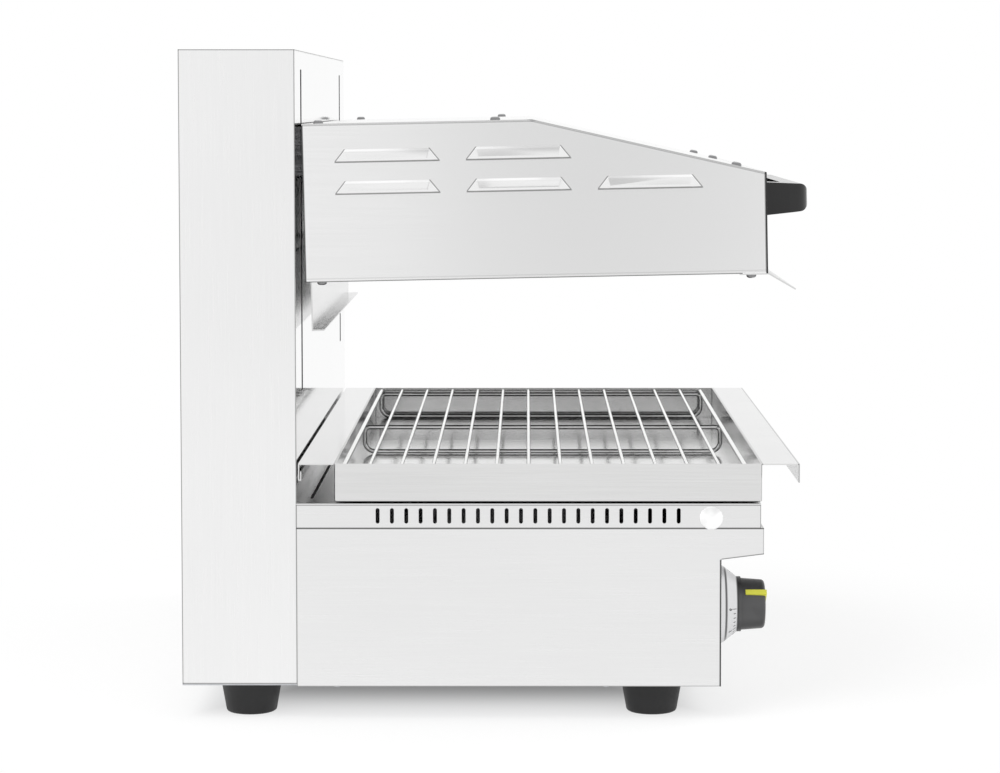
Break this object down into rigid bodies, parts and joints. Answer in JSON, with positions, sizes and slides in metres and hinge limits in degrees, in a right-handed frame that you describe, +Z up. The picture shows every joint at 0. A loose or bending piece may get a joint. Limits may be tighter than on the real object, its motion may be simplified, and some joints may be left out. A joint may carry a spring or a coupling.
{
  "type": "cheese melter",
  "caption": "Countertop lift grill: a louvred heating head slides on a rear column over a drip tray with a wire rack, with knobs on the base.",
  "frame": {"origin": "centre of the footprint, on the surface that the feet stand on", "axes": "+X to the user's right along the width, -Y towards the user, +Z up"},
  "size_m": [0.6, 0.5219, 0.53],
  "materials": {
    "satin_steel": "satin stainless sheet, protected edges",
    "bright_steel": "mirror-polished stainless sheet",
    "tray_steel": "bright rolled stainless sheet",
    "wire_steel": "polished stainless wire",
    "screw_steel": "stainless screws",
    "zinc_steel": "zinc-plated steel",
    "rod_steel": "hard-chromed ground rod",
    "weight_steel": "painted steel block",
    "cable_steel": "stranded steel cable",
    "bush_bronze": "sintered bronze",
    "nylon": "natural nylon",
    "foot_rubber": "black moulded rubber",
    "black_plastic": "black moulded phenolic",
    "matte_black": "matt black plastic",
    "yellow_plastic": "yellow inlay",
    "white_plastic": "white moulded plug",
    "bezel_silver": "satin silver bezel with printed scale",
    "lamp_amber": "amber lens",
    "element_sheath": "oxidised heater sheath",
    "ceramic": "glazed steatite",
    "mineral_wool": "pressed mineral wool"
  },
  "bodies": {
    "cabinet": {"base_pan": "satin_steel", "base_side_left": "satin_steel", "base_side_right": "satin_steel", "control_panel": "satin_steel", "vent_band": "satin_steel", "base_top_plate": "satin_steel", "hole_plugs": "white_plastic", "rubber_feet": "foot_rubber", "foot_bolts": "zinc_steel", "base_screws": "screw_steel", "column_cover": "satin_steel", "column_front": "bright_steel", "column_back": "satin_steel", "column_screws": "screw_steel", "guide_rods": "rod_steel", "guide_brackets_lower": "zinc_steel", "guide_brackets_upper": "zinc_steel", "bump_stops": "foot_rubber", "pulley_brackets": "zinc_steel", "pulley_axles": "rod_steel", "knob_bezels": "bezel_silver", "energy_regulators": "matte_black", "pilot_lamps": "lamp_amber", "terminal_block": "ceramic", "cable_gland": "matte_black", "gland_nut": "matte_black", "lift_cables": "cable_steel"},
    "head": {"carriage": "zinc_steel", "guide_bushes": "bush_bronze", "lift_arms": "zinc_steel", "head_crossbar": "zinc_steel", "head_cover": "satin_steel", "head_side_left": "satin_steel", "head_side_right": "satin_steel", "head_back": "satin_steel", "splash_plate": "satin_steel", "front_deflector": "satin_steel", "reflector": "bright_steel", "insulation": "mineral_wool", "heating_elements": "element_sheath", "element_terminals": "ceramic", "element_hangers": "zinc_steel", "guard_grille": "wire_steel", "handle": "black_plastic", "handle_screws": "screw_steel", "head_screws": "screw_steel"},
    "counterweight": {"counterweight": "weight_steel"},
    "pulley_left": {"pulley_left": "nylon"},
    "pulley_right": {"pulley_right": "nylon"},
    "knob_left": {"knob_left": "black_plastic", "knob_mark_left": "yellow_plastic", "spindle_left": "rod_steel"},
    "knob_right": {"knob_right": "black_plastic", "knob_mark_right": "yellow_plastic", "spindle_right": "rod_steel"},
    "tray": {"drip_tray": "tray_steel"},
    "rack": {"rack_rods": "wire_steel", "rack_loops": "wire_steel"}
  },
  "joints": [
    {"name": "head_lift", "type": "slide", "parent": "cabinet", "child": "head", "axis": [0, 0, 1], "range_m": [-0.095, 0.038], "deforming": ["lift_cables"]},
    {"name": "counterweight_slide", "type": "slide", "parent": "cabinet", "child": "counterweight", "axis": [0, 0, 1], "range_m": [-0.038, 0.095]},
    {"name": "pulley_left_turn", "type": "hinge", "parent": "cabinet", "child": "pulley_left", "pos_m": [-0.12, 0.205, 0.497], "axis": [1, 0, 0], "range_deg": [-128.2, 320.3]},
    {"name": "pulley_right_turn", "type": "hinge", "parent": "cabinet", "child": "pulley_right", "pos_m": [0.12, 0.205, 0.497], "axis": [1, 0, 0], "range_deg": [-128.2, 320.3]},
    {"name": "knob_left_turn", "type": "hinge", "parent": "cabinet", "child": "knob_left", "pos_m": [-0.237, -0.18, 0.083], "axis": [0, 1, 0], "range_deg": [0, 270]},
    {"name": "knob_right_turn", "type": "hinge", "parent": "cabinet", "child": "knob_right", "pos_m": [0.237, -0.18, 0.083], "axis": [0, 1, 0], "range_deg": [0, 270]},
    {"name": "tray_slide", "type": "slide", "parent": "cabinet", "child": "tray", "axis": [0, -1, 0], "range_m": [0, 0.3]},
    {"name": "rack_lift", "type": "slide", "parent": "tray", "child": "rack", "axis": [0, 0, 1], "range_m": [0, 0.03]}
  ],
  "couplings": [
    {"joint": "counterweight_slide", "follows": "head_lift", "ratio": -1},
    {"joint": "pulley_left_turn", "follows": "head_lift", "rad_per_m": -58.824},
    {"joint": "pulley_right_turn", "follows": "head_lift", "rad_per_m": -58.824}
  ]
}
